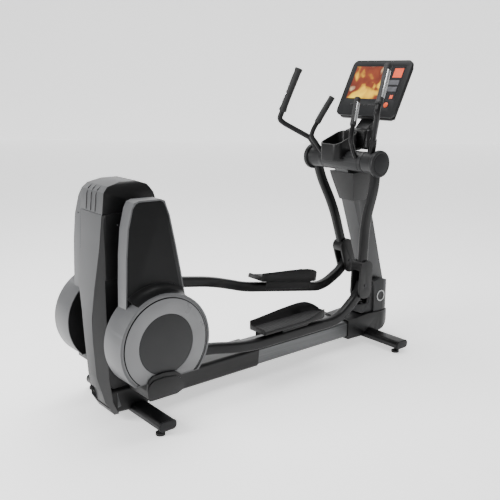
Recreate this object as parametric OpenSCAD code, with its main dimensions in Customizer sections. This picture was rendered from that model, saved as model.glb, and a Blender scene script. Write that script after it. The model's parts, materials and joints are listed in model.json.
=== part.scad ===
// Rear-drive elliptical cross-trainer. Millimetres, +X towards the console, +Z up,
// origin on the floor under the middle of the machine.

/* [Frame] */
// Half of the machine's overall length
half_length = 1005; // [1002:0.5:1010]
// Width of the main rail
rail_w = 180; // [170:2:184]
// Height of the rail's underside above the floor
rail_z = 62; // [60:1:66]
// Height of the rail section
rail_h = 92; // [88:1:93]
// Overall width across both foot bars
foot_span = 704; // [690:2:720]
// Diameter of the levelling feet
foot_d = 44; // [36:1:50]

/* [Linkage] */
// Height of the crank axis
crank_z = 418; // [416:1:422]
// Crank throw, shaft to pedal-lever pin
crank_r = 200; // [196:1:201]
// Angle of the crank below the horizontal in the rest pose
crank_angle = 51.6; // [50:0.1:53]
// Height of the swing-arm axis
swing_z = 1092; // [1090:1:1094]
// Swing-arm axis to pedal-lever pivot
swing_r = 690; // [686:1:694]
// Length of a pedal lever, crank pin to front pivot
lever_reach = 1521; // [1519:0.5:1523]

/* [Pedals] */
// Length of a pedal tray
pedal_len = 454; // [440:2:458]
// Width of a pedal tray
pedal_w = 134; // [124:2:136]
// Width of a pedal-lever bar
lever_w = 44; // [40:1:45]
// Depth of a pedal-lever bar
lever_h = 54; // [50:1:58]

/* [Rear covers] */
// Radius of the round part of a side pod
pod_r = 230; // [228:1:232]
// Outer radius of the light ring on a pod
ring_r = 209; // [205:1:212]
// Radius of the dark centre disc
disc_r = 139; // [130:1:150]
// Distance of the pods' round outer faces from the centre
pod_y = 320; // [318:1:324]
// Distance of the pods' upper outer faces from the centre
pod_top_y = 245; // [242:1:250]

/* [Handles] */
// Diameter of the moving handle tube
handle_d = 30; // [26:1:32]
// Diameter of the moving handle grip
grip_d = 40; // [36:1:42]
// Diameter of the fixed handle tube
fixed_d = 26; // [22:1:28]

/* [Console] */
// Width of the console
console_w = 442; // [430:2:450]
// Height of the console along its face
console_h = 345; // [335:1:350]
// Tilt of the console face from the vertical
console_tilt = 27; // [25:1:29]

/* [Hidden] */
$fn = 64;
fit = 0.05;
frame_shift = 15;
nose_x = half_length - frame_shift;
crank_x = pod_r - half_length - frame_shift;
swing_x = 630;
axle_d = 32;
shaft_d = 30;
pin_d = 20;
rear_foot_x = -813;
front_foot_x = 784;
foot_bar_w = 90;
foot_bar_h = 46;
foot_bar_z = 24;
rail_top = rail_z + rail_h;
joint_x = -65;
rail_front = 800;
arm_y = 232;
lever_y = 180;
lever_rear_y = 144.5;
coupling_w = 74;
pedal_y = 156;
pod_in = 176;
chord_z = 258;
plate_y = 60;
side_y = 84;
carrier_x = -815;
carrier_z = [780, 930];
carrier_d = 30;
alt_x = -800;
alt_z = 900;
idler_x = -800;
idler_z = 700;
bin_y = 32;
screen_w = 366;
screen_h = 204;
console_at = [850, 0, 1482];
lever_path = [[0, 0], [450, -37], [720, -100], [1290, -150], [1365, -132], [1480, -62], [lever_reach, 0]];

function pivot(a) = [swing_x - swing_r * sin(a), swing_z - swing_r * cos(a)];
function pin(side) = [crank_x + side * crank_r * cos(crank_angle),
                      crank_z + side * crank_r * sin(crank_angle)];
// The rest angle of a swing arm, rearward positive, at which the lever just reaches its crank pin.
function rest(side) = let (p = pin(side), vx = swing_x - p[0], vz = swing_z - p[1], v = norm([vx, vz]))
    atan2(vx, vz) - acos((v * v + swing_r * swing_r - lever_reach * lever_reach) / (2 * swing_r * v));
function handle_bend(side) = [-130, side * 328, 275];
function handle_top(side) = [25, side * 247, 514];
function lever_pitch(side) = let (p = pivot(rest(side)), q = pin(side))
    atan2(p[1] - q[1], p[0] - q[0]);

// The parts are laid out from a working origin; this puts the origin under the middle.
module framed() translate([frame_shift, 0, 0]) children();

// ---------- helpers ----------

// A side outline (x, z) given thickness from y0 to y1.
module along_y(y0, y1) translate([0, y1, 0]) rotate([90, 0, 0]) linear_extrude(y1 - y0) children();

// A cross-section (y, z) given length from x0 to x1.
module along_x(x0, x1) translate([x0, 0, 0]) rotate([90, 0, 90]) linear_extrude(x1 - x0) children();

// A side outline given the same thickness on one side or the other of the middle.
module on_side(side, a, b) along_y(side < 0 ? -b : a, side < 0 ? -a : b) children();

// A round bar across the machine.
module cross_rod(x, z, d, y0, y1) translate([x, y1, z]) rotate([90, 0, 0]) cylinder(d = d, h = y1 - y0);

// A rectangle with round corners, centred.
module round_rect(w, h, r) {
    square([w - 2 * r, h], center = true);
    square([w, h - 2 * r], center = true);
    for (x = [-1, 1], y = [-1, 1]) translate([x * (w / 2 - r), y * (h / 2 - r)]) circle(r);
}

// Points on an arc about a centre.
function arc(c, r, from, to, steps) = [for (i = [0 : steps]) let (q = from + (to - from) * i / steps)
    c + r * [cos(q), sin(q)]];

// The unit direction of one leg of a run of points, and the mitred offset at a corner.
function leg(p, i) = (p[i + 1] - p[i]) / norm(p[i + 1] - p[i]);
function heading(p, i) = atan2(leg(p, i)[1], leg(p, i)[0]);
function left_of(v) = [-v[1], v[0]];
function corner_offset(p, i) = let (n = len(p) - 1,
    u = left_of(leg(p, max(i - 1, 0))), v = left_of(leg(p, min(i, n - 1)))) (u + v) / (1 + u * v);

// A strip of even width along a run of points, with mitred corners.
module strip(points, w) {
    n = len(points) - 1;
    polygon(concat([for (i = [0 : n]) points[i] + corner_offset(points, i) * w / 2],
        [for (i = [n : -1 : 0]) points[i] - corner_offset(points, i) * w / 2]));
}

// The same strip with round ends.
module round_strip(points, w) {
    n = len(points) - 1;
    q = heading(points, n - 1);
    k = heading(points, 0);
    polygon(concat([for (i = [1 : n - 1]) points[i] + corner_offset(points, i) * w / 2],
        arc(points[n], w / 2, q + 90, q - 90, 24),
        [for (i = [n - 1 : -1 : 1]) points[i] - corner_offset(points, i) * w / 2],
        arc(points[0], w / 2, k - 90, k - 270, 24)));
}

// A round bar from point a to point b.
module rod(a, b, d) {
    v = b - a;
    translate(a) rotate([0, acos(v[2] / norm(v)), atan2(v[1], v[0])]) cylinder(d = d, h = norm(v));
}

// A round tube through a run of points.
module bent_tube(points, d) {
    for (i = [0 : len(points) - 2]) rod(points[i], points[i + 1], d);
    for (i = [1 : len(points) - 2]) translate(points[i]) sphere(d = d + 1, $fn = 48);
}

// Everything that swings with one arm, drawn with the arm hanging straight down from the origin.
module swung(side) translate([swing_x, 0, swing_z]) rotate([0, rest(side), 0]) children();

// Everything on one pedal lever, drawn from the crank pin forward along +X.
module on_lever(side) translate([pin(side)[0], 0, pin(side)[1]]) rotate([0, -lever_pitch(side), 0]) children();

// The pedal's own place on a lever, with the tray's underside at z = 0.
module on_pedal(side) on_lever(side)
    translate([1000, side * pedal_y, -75.1]) rotate([0, 4.7, 0]) children();

// The console's own place, face towards -X.
module on_console() translate(console_at) rotate([0, console_tilt, 0]) children();

// ---------- base ----------

module main_rail() color("silver") difference() {
    along_x(crank_x - 130, rail_front) translate([0, rail_z + rail_h / 2]) round_rect(rail_w, rail_h, 14);
    along_x(crank_x - 131, rail_front + 1)
        translate([0, rail_z + rail_h / 2]) round_rect(rail_w - 10, rail_h - 10, 10);
}

module rail_rear_cover() color("dimgray") difference() {
    union() {
        intersection() {
            along_x(-610, joint_x + 30) translate([0, rail_z + rail_h / 2]) round_rect(rail_w + 12, rail_h + 12, 18);
            along_y(-120, 120) polygon([[-620, 0], [joint_x - 26, 0], [joint_x, 260], [-620, 260]]);
        }
        intersection() {
            along_x(-745, -600) translate([0, rail_z + rail_h / 2 - 2]) round_rect(rail_w + 26, rail_h + 26, 22);
            along_y(-120, 120) union() {
                translate([-745, 0]) square([60, 112]);
                translate([-685, 112]) circle(60);
                translate([-685, 0]) square([85, 172]);
            }
        }
        for (s = [-1, 1]) outrigger(s);
    }
    for (s = [-1, 1]) on_side(s, plate_y - 0.5, plate_y + 8.5) translate([-760, rail_top - 4]) square([101, 60]);
    along_x(-760, joint_x + 40) translate([0, rail_z + rail_h / 2]) round_rect(rail_w + 0.8, rail_h + 0.8, 14.4);
}

// The outline of the shoe under a side pod; raise lifts its top edge.
module shoe_outline(raise = 0) polygon([[-890, 186], [-880, 180], [-750, 180], [-716, 194], [-711, 205], [-712, 222],
    [-727, 248 + raise], [-752, 266 + raise], [-813, 274 + raise], [-868, 271 + raise], [-890, 256 + raise],
    [-902, 230], [-900, 196]]);

// A shoe under one side pod, carried out from the rail below the moving lever.
module outrigger(side) {
    on_side(side, 98, 180) translate([-744, 104]) square([28, 38]);
    on_side(side, pod_in - 4, pod_in + 14) translate([-744, 104]) square([28, 120]);
    on_side(side, pod_in - 4, pod_y + 0.6) intersection() {
        shoe_outline();
        translate([-910, 170]) square([210, chord_z - 170.4]);
    }
    on_side(side, pod_y + 0.4, pod_y + 8) shoe_outline(20);
    on_side(side, pod_y + 7, pod_y + 14) shoe_outline();
}

module foot_bar(x) color("dimgray")
    translate([x, 0, 0]) along_y(-foot_span / 2 + 12, foot_span / 2 - 12) translate([0, foot_bar_z + foot_bar_h / 2])
        difference() {
            round_rect(foot_bar_w, foot_bar_h, 20);
            round_rect(foot_bar_w - 8, foot_bar_h - 8, 16);
        }

module rear_foot_bar() difference() {
    foot_bar(rear_foot_x);
    along_x(rear_foot_x - 60, rear_foot_x + 60)
        translate([0, rail_z + rail_h / 2]) round_rect(rail_w + 0.6, rail_h + 0.6, 14.3);
}

module front_foot_bar() difference() {
    foot_bar(front_foot_x);
    along_x(front_foot_x - 60, front_foot_x + 60)
        translate([0, rail_z + rail_h / 2]) round_rect(rail_w + 0.6, rail_h + 0.6, 14.3);
}

module foot_end_caps() color("black") for (x = [rear_foot_x, front_foot_x], s = [-1, 1])
    translate([x, 0, 0]) on_side(s, foot_span / 2 - 11.9, foot_span / 2)
        translate([0, foot_bar_z + foot_bar_h / 2]) round_rect(foot_bar_w + 2, foot_bar_h + 2, 21);

module levelling_feet() color("black") for (x = [rear_foot_x - 22, front_foot_x - 22], s = [-1, 1])
    translate([x, s * (foot_span / 2 - 34), 0]) {
        cylinder(d = foot_d, h = 12);
        cylinder(d = 14, h = foot_bar_z - 0.1);
    }

module front_base_cover() color("dimgray") difference() {
    intersection() {
        along_y(-118, 118) polygon([[600, 48], [850, 42], [900, 56], [940, 84], [970, 120],
            [nose_x - 4, 152], [950, 162], [770, 172], [600, 162]]);
        translate([0, 0, 40]) linear_extrude(140) {
            translate([590, -96]) square([nose_x - 686, 192]);
            translate([nose_x - 98, 0]) circle(r = 98);
        }
    }
    along_y(-50.4, 50.4) mast_outline(0.5);
    along_x(590, rail_front + 0.5) translate([0, rail_z + rail_h / 2]) round_rect(rail_w + 0.8, rail_h + 0.8, 14.4);
    along_y(-120, 120) translate([front_foot_x, foot_bar_z + foot_bar_h / 2]) round_rect(foot_bar_w + 1, foot_bar_h + 1, 20.5);
}

// ---------- mast ----------

module mast_outline(grow = 0) polygon([[575 - grow, 1113 + grow], [692 + grow, 1142 + grow], [742 + grow, 1010],
    [838 + grow, 700], [915 + grow, 430], [945 + grow, 330], [950 + grow, 250], [905 + grow, rail_top + 0.2 - grow],
    [765 - grow, rail_top + 0.2 - grow], [800 - grow, 240], [815 - grow, 300], [803 - grow, 448]]);

module mast_post() color("dimgray") difference() {
    union() {
        along_y(-50, 50) mast_outline();
        cross_rod(swing_x, swing_z, 70, -160, 160);
    }
    cross_rod(swing_x, swing_z, axle_d + 2 * fit, -161, 161);
}

module mast_lower_shroud() color("dimgray") difference() {
    intersection() {
        along_y(-92, 92) polygon([[730, 177], [770, 174.5], [950, 164.5], [nose_x - 4, 157], [nose_x, 200],
            [nose_x - 1, 240], [nose_x - 10, 300], [958, 345], [925, 356], [880, 372], [822, 362], [810, 300], [788, 225]]);
        translate([0, 0, 150]) linear_extrude(240) {
            translate([620, -78]) square([210, 156]);
            translate([820, -90]) square([60, 180]);
            translate([880, 0]) scale([nose_x - 880, 90]) circle(r = 1);
        }
    }
    along_y(-50.4, 50.4) mast_outline(0.5);
}

module side_medallions() color("gray") for (s = [-1, 1]) on_side(s, 90.1, 92)
    translate([880, 262]) difference() {
        circle(r = 34);
        circle(r = 27);
    }

module mast_neck_cover() color("black") difference() {
    along_x(552, 790) polygon([[-58, 860], [58, 860], [88, 990], [92, 1026], [-92, 1026], [-88, 990]]);
    along_y(-100, 100) polygon([[500, 800], [655, 850], [600, 1030], [500, 1040]]);
    along_y(-100, 100) polygon([[900, 800], [806, 850], [750, 1030], [900, 1040]]);
    along_y(-50.4, 50.4) mast_outline(0.5);
}

// ---------- rear tower ----------

module tower_side_outline() polygon([[-950, 985], [-975, 832], [-996, 640], [-998, 400], [-985, 225], [-940, rail_top + 15],
    [-620, rail_top + 15], [-622, 400], [-642, 640], [-672, 850], [-690, 985]]);

module tower_frame() color("gray") difference() {
    union() {
        for (s = [-1, 1]) on_side(s, plate_y, plate_y + 8)
            polygon([[-905, 975], [-930, 640], [-938, rail_top + 0.2], [-660, rail_top + 0.2], [-676, 640], [-698, 975]]);
        for (p = [[-890, 948], [-714, 952], [-915, 606], [-684, 606], [-920, 190], [-690, 190]])
            cross_rod(p[0], p[1], 26, -plate_y - 1, plate_y + 1);
    }
    cross_rod(crank_x, crank_z, 62.1, -80, 80);
    cross_rod(idler_x, idler_z, 20.1, -80, 80);
    cross_rod(alt_x, alt_z, 20.1, -80, 80);
}

module tower_rear_outline(grow = 0) polygon([[-100 - grow, 984], [-92 - grow, 880], [-78 - grow, 660], [-48 - grow, 520],
    [-42 - grow, 400], [-42 - grow, 220], [-66 - grow, 100], [-72 - grow, 30],
    [72 + grow, 30], [66 + grow, 100], [42 + grow, 220], [42 + grow, 400], [48 + grow, 520],
    [78 + grow, 660], [92 + grow, 880], [100 + grow, 984]]);

module tower_rear_cover() color("gray") difference() {
    intersection() {
        along_x(-1020, -930) tower_rear_outline();
        along_y(-105, 105) polygon([[-962, 984], [-976, 832], [-1002, 660], [-1007, 500], [-1005, 400], [-995, 225],
            [-970, 100], [-930, 30], [-930, 150], [-950, 225], [-958, 400], [-958, 640], [-935, 832], [-930, 984]]);
    }
    along_x(-990, -920) translate([0, rail_z + rail_h / 2]) round_rect(rail_w + 0.8, rail_h + 0.8, 14.4);
    for (s = [-1, 1]) on_side(s, 95.6, 110) translate([-958.4, 0]) square([60, 1000]);
    along_y(-120, 120) translate([rear_foot_x, foot_bar_z + foot_bar_h / 2]) round_rect(foot_bar_w + 1, foot_bar_h + 1, 20.5);
}

// The foot of the tower, either side of the rail's rear end.
module tower_base_skirt() color("dimgray") for (s = [-1, 1]) {
    on_side(s, 73.5, 112) polygon([[-962, 150], [-958, 110], [-940, 70], [-921, 52], [-921, 150]]);
    on_side(s, 91, 112) polygon([[-922, 150], [-922, 52], [-900, 40], [-859, 34], [-859, 71.5], [-750, 71.5], [-750, 120], [-790, 150]]);
}

module cap_outline(inset = 0) {
    polygon([[-961 + inset, 985], [-950 + inset, 1078], [-925 + inset / 2, 1102 - inset], [-860, 1118 - inset],
        [-780, 1116 - inset], [-730 - inset / 2, 1098 - inset], [-700 - inset, 1058 - inset],
        [-690 - inset, 1024], [-688 - inset, 985]]);
}

module cap_section(inset = 0) polygon([[inset - 104, 970], [inset - 104, 1080], [inset - 92, 1108 - inset],
    [-70, 1130 - 1.5 * inset], [70, 1130 - 1.5 * inset], [92 - inset, 1108 - inset], [104 - inset, 1080],
    [104 - inset, 970]]);

module tower_top_cap() color("gray") difference() {
    intersection() {
        along_y(-104, 104) cap_outline();
        along_x(-970, -680) cap_section();
    }
    intersection() {
        along_y(-98, 98) translate([0, -1]) cap_outline(6);
        along_x(-970, -680) cap_section(6);
    }
}

module tower_side_covers() color("black") for (s = [-1, 1]) difference() {
    union() {
        intersection() {
            on_side(s, side_y, side_y + 8) tower_side_outline();
            translate([-1010, -200, 60]) cube([400, 400, 634]);
        }
        on_side(s, side_y, 104) intersection() {
            tower_side_outline();
            translate([-1010, 690]) square([400, 12]);
        }
        intersection() {
            on_side(s, 96, 104) tower_side_outline();
            translate([-1010, -200, 690]) cube([400, 400, 294]);
        }
    }
    translate([-1100, -200, 0]) cube([142, 400, 1100]);
    cross_rod(crank_x, crank_z, 76, -120, 120);
    carrier_holes();
}

// ---------- side pods ----------

module pod_tower(grow = 0) polygon([[-890 - grow, 1022], [-876 - grow, 1040 + grow], [-860, 1047 + grow],
    [-752, 1044 + grow], [-738 + grow, 1035 + grow], [-731 + grow, 1020], [-715 + grow, 976], [-684 + grow, 824],
    [-663 + grow, 710], [-645 + grow, 600], [-700, 430], [-880, 430], [-938 - grow, 540],
    [-935 - grow, 611], [-932 - grow, 699], [-926 - grow, 817], [-913 - grow, 937]]);

module pod_round(r) intersection() {
    translate([crank_x, crank_z]) circle(r = r, $fn = 128);
    translate([crank_x - r, chord_z]) square([2 * r, 2 * pod_r]);
}

module pod_bands() color("gray") for (s = [-1, 1]) difference() {
    union() {
        on_side(s, pod_in, pod_top_y) pod_tower(7);
        on_side(s, pod_in, pod_y) pod_round(pod_r);
    }
    on_side(s, pod_in - 1, pod_top_y - 9) pod_tower(3);
    on_side(s, pod_top_y - 10, pod_top_y + 1) difference() {
        pod_tower(0);
        translate([crank_x, crank_z]) circle(r = pod_r - 0.1, $fn = 128);
    }
    on_side(s, pod_in - 1, pod_y - 12) intersection() {
        pod_round(pod_r - 4);
        translate([-1200, chord_z + 4]) square(800);
    }
    on_side(s, pod_y - 13, pod_y + 1) intersection() {
        pod_round(pod_r - 10);
        translate([-1200, chord_z + 4]) square(800);
    }
}

module pod_panels() color("dimgray") for (s = [-1, 1]) on_side(s, pod_top_y - 8.7, pod_top_y - 1) difference() {
    pod_tower(-0.4);
    translate([crank_x, crank_z]) circle(r = pod_r + 0.4, $fn = 128);
}

module ring_outline(r) intersection() {
    pod_round(r);
    translate([-1200, chord_z + 4.4]) square(800);
}

module disc_rings() color("silver") for (s = [-1, 1]) difference() {
    union() {
        on_side(s, pod_y - 11.7, pod_y - 4) ring_outline(pod_r - 10.4);
        on_side(s, pod_y - 4, pod_y) ring_outline(ring_r);
    }
    cross_rod(crank_x, crank_z, 2 * disc_r + 0.8, -pod_y - 5, pod_y + 5);
}

module disc_centres() color("dimgray") for (s = [-1, 1]) on_side(s, pod_y - 11.5, pod_y - 1)
    translate([crank_x, crank_z]) circle(r = disc_r, $fn = 128);

module pod_inner_panels() color("black") difference() {
    for (s = [-1, 1]) on_side(s, pod_in + 2, pod_in + 6) {
        pod_tower(2.6);
        ring_outline(pod_r - 4.4);
    }
    carrier_holes();
}

// Welded outriggers that hold the pods clear of the moving levers.
module pod_carriers() color("dimgray") for (s = [-1, 1]) {
    for (z = carrier_z) on_side(s, plate_y + 8.2, pod_in + 22) translate([carrier_x, z]) circle(d = carrier_d);
    on_side(s, pod_in + 20, pod_in + 26)
        polygon([[-870, 980], [-770, 980], [-730, 700], [-740, 480], [-840, 480], [-880, 700]]);
}

module carrier_holes() for (z = carrier_z) cross_rod(carrier_x, z, carrier_d + 0.8, -pod_in - 10, pod_in + 10);

// ---------- drive ----------

module crank_bearings() color("silver") for (s = [-1, 1]) on_side(s, plate_y - 2, plate_y + 14)
    translate([crank_x, crank_z]) difference() {
        circle(d = 62);
        circle(d = shaft_d + 2 * fit);
    }

module crankshaft() color("silver") cross_rod(crank_x, crank_z, shaft_d, -117, 117);

module crank_arms() color("dimgray") for (s = [-1, 1]) on_side(s, 97, 117) difference() {
    union() {
        strip([[crank_x, crank_z], pin(s)], 42);
        translate([crank_x, crank_z]) circle(d = 64);
        translate(pin(s)) circle(d = 56);
    }
    translate([crank_x, crank_z]) circle(d = shaft_d + 2 * fit);
    translate(pin(s)) circle(d = pin_d + 2);
}

module drive_pulley() color("dimgray") along_y(-12, 12) translate([crank_x, crank_z]) difference() {
    circle(r = 140, $fn = 128);
    circle(d = shaft_d + 2 * fit);
    for (a = [0 : 60 : 300]) rotate(a) translate([82, 0]) circle(r = 28);
}

// The outline of a belt around two pulleys.
module belt_outline(a, ra, b, rb) {
    lean = asin((ra - rb) / norm(b - a));
    dir = atan2(b[1] - a[1], b[0] - a[0]);
    polygon(concat(arc(a, ra, dir + 90 - lean, dir + 270 + lean, 48),
        arc(b, rb, dir - 90 + lean, dir + 90 - lean, 32)));
}

module belt(a, ra, b, rb, y0, y1) along_y(y0, y1) difference() {
    belt_outline(a, ra + 4, b, rb + 4);
    belt_outline(a, ra, b, rb);
}

module drive_belt() color("black") belt([crank_x, crank_z], 140.5, [idler_x, idler_z], 32.5, -11, 11);

module idler_pulley() color("dimgray") {
    along_y(-12, 12) translate([idler_x, idler_z]) circle(r = 32);
    along_y(18, 38) translate([idler_x, idler_z]) circle(r = 90);
    cross_rod(idler_x, idler_z, 20, -72, 72);
}

module alternator_belt() color("black") belt([idler_x, idler_z], 90.5, [alt_x, alt_z], 26.5, 20, 36);

module flywheel() color("silver") {
    along_y(18, 38) translate([alt_x, alt_z]) circle(r = 26);
    along_y(-28, 10) translate([alt_x, alt_z]) circle(r = 74);
    cross_rod(alt_x, alt_z, 20, -72, 72);
}

module alternator_housing() color("gray") along_y(-60, -30) translate([alt_x, alt_z]) difference() {
    round_rect(136, 136, 30);
    circle(d = 21);
}

// ---------- swing arms ----------

module swing_axle() color("silver") cross_rod(swing_x, swing_z, axle_d, -262, 262);

module swing_bushes() color("tan") for (s = [-1, 1], y = [170, 240]) on_side(s, y, y + 20)
    translate([swing_x, swing_z]) difference() {
        circle(d = 42);
        circle(d = axle_d + 2 * fit);
    }

module crossbar_cover() color("dimgray") difference() {
    along_y(-164, 164) translate([swing_x, swing_z]) circle(r = 58);
    cross_rod(swing_x, swing_z, 71, -165, 165);
    along_y(-50.4, 50.4) mast_outline(0.5);
    along_y(bin_y - 76, bin_y + 76) polygon([[500, 1084], [694, 1160], [694, 1300], [500, 1300]]);
}

module swing_arm(side) color("dimgray") {
    swung(side) {
        difference() {
            union() {
                on_side(side, 168, 262) circle(d = 62);
                intersection() {
                    along_x(-27, 27) scale([side, 1]) strip([[arm_y, 0], [arm_y, -130], [182, -330], [182, -592]], 42);
                    along_y(-400, 400) strip([[0, 30], [0, -320], [0, -592]], 54);
                }
            }
            cross_rod(0, 0, 42 + 2 * fit, -300, 300);
        }
    }
}

module hub_cover(side) color("dimgray") swung(side) difference() {
    union() {
        on_side(side, 166, 216) circle(r = 50);
        on_side(side, 216, 270) circle(r = 74);
    }
    on_side(side, 160, 264) circle(d = 62.6);
    on_side(side, arm_y - 22, arm_y + 22) translate([-28, -100]) square([56, 100]);
    on_side(side, 160, 240) translate([-37, 20]) square([62, 70]);
}

module handle_tube(side) color("black") swung(side) difference() {
    union() {
        bent_tube([[-18, side * 216, 118], handle_bend(side) - [-18, side * 12, 32], handle_bend(side) + [0, 0, 12],
            handle_top(side)], handle_d);
        rod([-2, side * 192, 25], [-22, side * 221, 132], 46);
    }
    on_side(side, 150, 300) circle(d = 62.6);
}

module handle_grip(side) color("black") swung(side) difference() {
    a = handle_bend(side) + [0, 0, 12];
    b = handle_top(side);
    u = (b - a) / norm(b - a);
    union() {
        rod(a + u * 44, b + u * 8, grip_d);
        rod(b - u * 4, b + u * 10, grip_d + 8);
    }
    rod(a + u * 42, b, handle_d + 0.2);
}

module coupling(side) color("black") swung(side) difference() {
    on_side(side, lever_y - coupling_w / 2, lever_y + coupling_w / 2)
        translate([2, -swing_r + 35]) round_rect(96, 216, 38);
    on_side(side, lever_y - 25, lever_y + 25) polygon([[-100, -600], [18, -600], [34, -630], [34, -760],
        [0, -800], [-100, -800]]);
    on_side(side, 182 - 21.4, 182 + 21.4) translate([-27.4, -592.4]) square([54.8, 70]);
    cross_rod(0, -swing_r, pin_d + 2 * fit, -300, 300);
}

module pivot_pin(side) color("silver") swung(side) on_side(side, lever_y - coupling_w / 2 - 2, lever_y + coupling_w / 2 + 2)
    translate([0, -swing_r]) circle(d = pin_d);

// ---------- pedal levers ----------

// The bar's centre line in plan: it runs close to the crank at the rear and wider under the pedal.
function lever_plan(side) = [for (p = [[-40, lever_rear_y], [450, lever_rear_y], [600, lever_y], [1560, lever_y]])
    [p[0], side * p[1]]];

module pedal_lever(side) color("dimgray") on_lever(side) difference() {
    intersection() {
        along_y(-300, 300) round_strip(lever_path, lever_h);
        translate([0, 0, -400]) linear_extrude(800) strip(lever_plan(side), lever_w);
    }
    along_y(-300, 300) translate(lever_path[6]) circle(d = pin_d + 2 * fit);
}

module tray_plan(inset = 0) {
    translate([-pedal_len / 2 + inset, -pedal_w / 2 + inset]) square([pedal_len - pedal_w / 2, pedal_w - 2 * inset]);
    translate([pedal_len / 2 - pedal_w / 2, 0]) circle(r = pedal_w / 2 - inset, $fn = 96);
}

module pedal_tray(side) color("black") on_pedal(side) {
    difference() {
        intersection() {
            linear_extrude(80) tray_plan();
            along_y(-100, 100) polygon([[-230, 0], [230, 0], [230, 22], [222, 38], [204, 54], [176, 66], [140, 73],
                [95, 75], [40, 72], [-30, 66], [-100, 59], [-170, 52], [-230, 46]]);
        }
        translate([0, 0, 12]) linear_extrude(80) tray_plan(9);
        translate([-240, side > 0 ? pedal_w / 2 - 20 : -pedal_w / 2 - 20, 18]) cube([370, 40, 80]);
    }
    translate([-90, side > 0 ? 0 : -44, -21.2]) cube([180, 44, 21.4]);
    translate([-190, side > 0 ? -pedal_w / 2 : pedal_w / 2 - 8, -44]) cube([340, 8, 44.2]);
}

module pedal_mat(side) color("gray") on_pedal(side) translate([0, 0, 12]) linear_extrude(5) tray_plan(9.3);

// ---------- console and fixed handles ----------

function fixed_bend(s) = [520, s * 148, 1260];
function fixed_top(s) = [610, s * 99, 1432];

module fixed_handles() color("black") difference() {
    for (s = [-1, 1])
        bent_tube([[604, s * 126, 1108], [556, s * 132, 1152], [508, s * 153, 1222], fixed_bend(s), fixed_top(s)], fixed_d);
    cross_rod(swing_x, swing_z, 116.6, -165, 165);
}

module fixed_grips() color("black") for (s = [-1, 1]) {
    a = fixed_bend(s);
    b = fixed_top(s);
    u = (b - a) / norm(b - a);
    difference() {
        rod(a + u * 40, b + u * 8, fixed_d + 9);
        rod(a + u * 38, b, fixed_d + 0.2);
    }
}

module bin_tray() color("black") difference() {
    intersection() {
        translate([0, 0, 1085]) linear_extrude(180) translate([610, bin_y]) round_rect(180, 150, 40);
        along_y(-100, 130) polygon([[500, 1086], [694, 1162], [701, 1165], [701, 1250], [694, 1248], [514, 1182]]);
    }
    intersection() {
        translate([0, 0, 1085]) linear_extrude(220) translate([610, bin_y]) round_rect(164, 134, 32);
        along_y(-100, 130) polygon([[500, 1110], [701, 1189], [701, 1300], [500, 1300]]);
    }
}

module console_neck() color("black") {
    along_y(-46, 46) polygon([[660, 1145.2], [700, 1145.2], [776, 1180], [850, 1330], [918, 1430], [884.3, 1471],
        [841.2, 1386.2], [803.3, 1311.2], [755, 1262], [702, 1240], [702, 1162], [694, 1160.5], [660, 1147]]);
    along_y(-72, 72) polygon([[702, 1158], [735, 1158], [752, 1250], [740, 1262], [702, 1252]]);
}

module console_back() color("black") on_console() along_x(8, 34)
    translate([0, -9]) round_rect(console_w - 26, console_h - 4, 30);

module console_bezel() color("dimgray") on_console() difference() {
    along_x(-8, 7.9) round_rect(console_w, console_h, 35);
    along_x(-9, -4) translate([0, 33]) round_rect(screen_w + 0.6, screen_h + 0.6, 4);
    along_x(-9, 9) translate([-138, -100]) circle(d = 31);
}

module screen_glass() color("black") on_console() along_x(-7.9, -4.1) translate([0, 33]) round_rect(screen_w, screen_h, 4);

module stop_button() color("red") on_console() along_x(-11, 2) translate([-138, -100]) circle(d = 30);

// ---------- assembly ----------

framed() main_rail();
framed() rail_rear_cover();
framed() rear_foot_bar();
framed() front_foot_bar();
framed() foot_end_caps();
framed() levelling_feet();
framed() mast_post();
framed() mast_lower_shroud();
framed() front_base_cover();
framed() mast_neck_cover();
framed() side_medallions();
framed() tower_frame();
framed() tower_base_skirt();
framed() tower_rear_cover();
framed() tower_top_cap();
framed() tower_side_covers();
framed() pod_bands();
framed() pod_panels();
framed() disc_rings();
framed() disc_centres();
framed() pod_inner_panels();
framed() pod_carriers();
framed() crank_bearings();
framed() drive_belt();
framed() alternator_belt();
framed() alternator_housing();
framed() swing_axle();
framed() swing_bushes();
framed() crossbar_cover();
framed() fixed_handles();
framed() fixed_grips();
framed() bin_tray();
framed() console_neck();
framed() console_back();
framed() console_bezel();
framed() screen_glass();
framed() crankshaft();
framed() crank_arms();
framed() drive_pulley();
framed() idler_pulley();
framed() flywheel();
framed() stop_button();
framed() swing_arm(-1);  // swing_arm_right
framed() hub_cover(-1);  // hub_cover_right
framed() handle_tube(-1);  // handle_tube_right
framed() handle_grip(-1);  // handle_grip_right
framed() coupling(-1);  // coupling_right
framed() pivot_pin(-1);  // pivot_pin_right
framed() pedal_lever(-1);  // pedal_lever_right
framed() pedal_tray(-1);  // pedal_tray_right
framed() pedal_mat(-1);  // pedal_mat_right
framed() swing_arm(1);  // swing_arm_left
framed() hub_cover(1);  // hub_cover_left
framed() handle_tube(1);  // handle_tube_left
framed() handle_grip(1);  // handle_grip_left
framed() coupling(1);  // coupling_left
framed() pivot_pin(1);  // pivot_pin_left
framed() pedal_lever(1);  // pedal_lever_left
framed() pedal_tray(1);  // pedal_tray_left
framed() pedal_mat(1);  // pedal_mat_left
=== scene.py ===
# Elliptical cross-trainer: the looks of every piece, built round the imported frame.
import bpy
import bmesh
import json
import math
from mathutils import Matrix, Vector


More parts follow.
